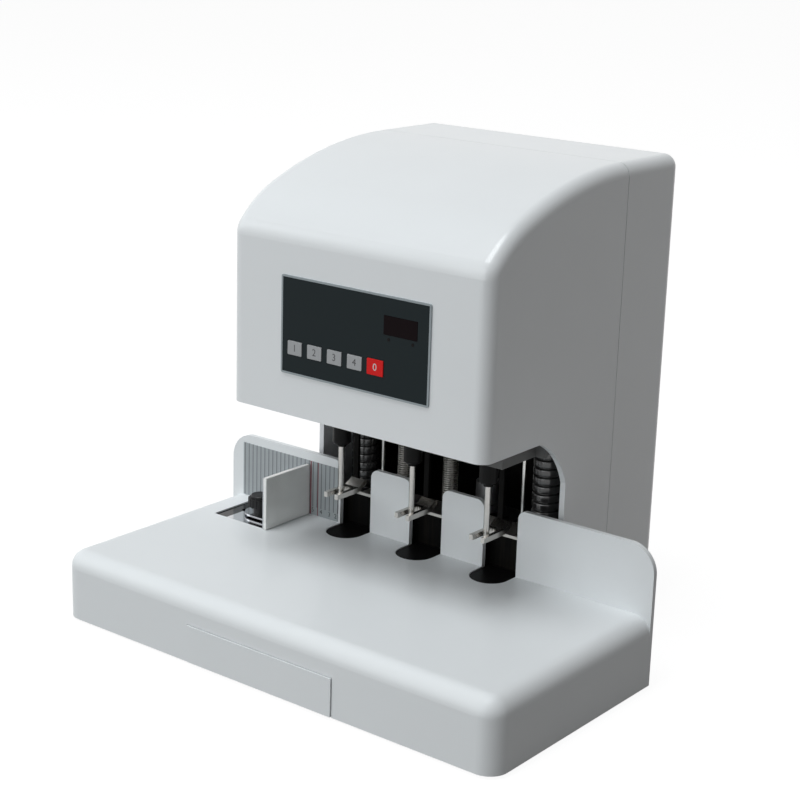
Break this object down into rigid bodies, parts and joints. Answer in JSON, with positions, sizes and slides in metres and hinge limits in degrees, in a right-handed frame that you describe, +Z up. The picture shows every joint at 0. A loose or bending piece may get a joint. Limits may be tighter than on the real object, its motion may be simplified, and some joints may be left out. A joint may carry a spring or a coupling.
{
  "type": "electric hole punch",
  "caption": "Desk paper drill: a white head on a column over a flat table, with spindles that a screw-fed carriage lowers through slots in a rear fence.",
  "frame": {"origin": "on the floor under the middle of the machine's outer box", "axes": "+Z up, +X to the operator's right along the fence, -Y towards the operator"},
  "size_m": [0.462, 0.3834, 0.4125],
  "materials": {
    "white_shell": "gloss white paint",
    "black_steel": "black oxide, satin",
    "fork_steel": "bright steel",
    "bright_steel": "polished steel",
    "drill_steel": "ground steel",
    "plate_steel": "cut steel plate",
    "spring_steel": "dark drawn wire",
    "screw_steel": "zinc",
    "bearing_steel": "ground",
    "aluminium": "machined",
    "brass": "machined",
    "bronze": "sintered bronze",
    "rubber": "black",
    "pad_plastic": "black",
    "grey_scale": "grey, printed lines",
    "white_plastic": "white",
    "black_plastic": "black",
    "panel_film": "dark slate film with a light border",
    "display_red": "dark red window",
    "lamp_red": "red lens",
    "key_grey": "silver grey",
    "key_red": "red",
    "board_green": "green laminate"
  },
  "bodies": {
    "frame": {"table_cover": "white_shell", "base_plate": "plate_steel", "rubber_feet": "rubber", "fence": "white_shell", "scale_plate": "grey_scale", "case_screws": "screw_steel", "drill_pad_left": "pad_plastic", "drill_pad_middle": "pad_plastic", "drill_pad_right": "pad_plastic", "gauge_rail": "bright_steel", "drawer_runners": "plate_steel", "front_cover": "white_shell", "rear_cover": "white_shell", "frame_sides": "plate_steel", "head_plate": "plate_steel", "top_plate": "plate_steel", "throat_plate": "black_steel", "guide_posts": "bright_steel", "bellows": "rubber", "feed_motor": "black_steel", "presser_springs": "spring_steel", "control_panel": "panel_film", "display_window": "display_red", "indicator_lights": "lamp_red", "circuit_board": "board_green", "power_inlet": "black_plastic"},
    "gauge": {"gauge_foot": "bright_steel", "gauge_plate": "white_plastic", "gauge_nut": "bright_steel"},
    "knob": {"gauge_knob": "black_plastic"},
    "drawer": {"chip_drawer": "white_shell"},
    "carriage": {"carriage": "aluminium", "guide_bushes": "bronze", "spindle_bearings": "bearing_steel", "drill_motor": "black_steel", "feed_nut": "brass", "drive_belt": "rubber"},
    "motor_drive": {"motor_pulley": "aluminium"},
    "feed_drive": {"feed_screw": "bright_steel", "shaft_coupling": "aluminium"},
    "presser": {"presser_bar": "black_steel", "presser_rods": "bright_steel", "presser_fork_left": "fork_steel", "presser_fork_middle": "fork_steel", "presser_fork_right": "fork_steel"},
    "rocker": {"rocker_switch": "black_plastic"},
    "drill_head_left": {"spindle_left": "bearing_steel", "chuck_left": "black_steel", "drill_left": "drill_steel"},
    "drill_head_middle": {"spindle_middle": "bearing_steel", "chuck_middle": "black_steel", "drill_middle": "drill_steel"},
    "drill_head_right": {"spindle_right": "bearing_steel", "chuck_right": "black_steel", "drill_right": "drill_steel"},
    "key_1_cap": {"key_1": "key_grey"},
    "key_2_cap": {"key_2": "key_grey"},
    "key_3_cap": {"key_3": "key_grey"},
    "key_4_cap": {"key_4": "key_grey"},
    "zero_key_cap": {"zero_key": "key_red"}
  },
  "joints": [
    {"name": "carriage_lift", "type": "slide", "parent": "frame", "child": "carriage", "axis": [0, 0, 1], "range_m": [-0.0365, 0], "deforming": ["bellows"]},
    {"name": "presser_lift", "type": "slide", "parent": "frame", "child": "presser", "axis": [0, 0, 1], "range_m": [-0.0365, 0], "deforming": ["presser_springs"]},
    {"name": "feed_turn", "type": "hinge", "parent": "frame", "child": "feed_drive", "pos_m": [0, 0.1185, 0.2], "axis": [0, 0, 1], "range_deg": [-3290, 0]},
    {"name": "motor_turn", "type": "hinge", "parent": "carriage", "child": "motor_drive", "pos_m": [0, 0.0735, 0.25], "axis": [0, 0, 1], "continuous": true},
    {"name": "gauge_slide", "type": "slide", "parent": "frame", "child": "gauge", "axis": [1, 0, 0], "range_m": [-0.018, 0.018]},
    {"name": "knob_turn", "type": "hinge", "parent": "gauge", "child": "knob", "pos_m": [-0.169, -0.0065, 0.07], "axis": [0, 0, 1], "range_deg": [0, 270]},
    {"name": "drawer_pull", "type": "slide", "parent": "frame", "child": "drawer", "axis": [0, -1, 0], "range_m": [0, 0.14]},
    {"name": "rocker_tip", "type": "hinge", "parent": "frame", "child": "rocker", "pos_m": [0.084, 0.1845, 0.06], "axis": [1, 0, 0], "range_deg": [0, 14]},
    {"name": "spindle_left_turn", "type": "hinge", "parent": "carriage", "child": "drill_head_left", "pos_m": [-0.08, 0.0025, 0.2], "axis": [0, 0, 1], "continuous": true},
    {"name": "spindle_middle_turn", "type": "hinge", "parent": "carriage", "child": "drill_head_middle", "pos_m": [0, 0.0025, 0.2], "axis": [0, 0, 1], "continuous": true},
    {"name": "spindle_right_turn", "type": "hinge", "parent": "carriage", "child": "drill_head_right", "pos_m": [0.08, 0.0025, 0.2], "axis": [0, 0, 1], "continuous": true},
    {"name": "key_1_press", "type": "slide", "parent": "frame", "child": "key_1_cap", "axis": [0, 1, 0], "range_m": [0, 0.0005], "stiffness_N_per_m": 400},
    {"name": "key_2_press", "type": "slide", "parent": "frame", "child": "key_2_cap", "axis": [0, 1, 0], "range_m": [0, 0.0005], "stiffness_N_per_m": 400},
    {"name": "key_3_press", "type": "slide", "parent": "frame", "child": "key_3_cap", "axis": [0, 1, 0], "range_m": [0, 0.0005], "stiffness_N_per_m": 400},
    {"name": "key_4_press", "type": "slide", "parent": "frame", "child": "key_4_cap", "axis": [0, 1, 0], "range_m": [0, 0.0005], "stiffness_N_per_m": 400},
    {"name": "zero_key_press", "type": "slide", "parent": "frame", "child": "zero_key_cap", "axis": [0, 1, 0], "range_m": [0, 0.0005], "stiffness_N_per_m": 400}
  ],
  "couplings": [
    {"joint": "presser_lift", "follows": "carriage_lift", "ratio": 1},
    {"joint": "feed_turn", "follows": "carriage_lift", "rad_per_m": 1570.8},
    {"joint": "spindle_left_turn", "follows": "motor_turn", "ratio": 0.6},
    {"joint": "spindle_middle_turn", "follows": "motor_turn", "ratio": 0.6},
    {"joint": "spindle_right_turn", "follows": "motor_turn", "ratio": 0.6}
  ]
}
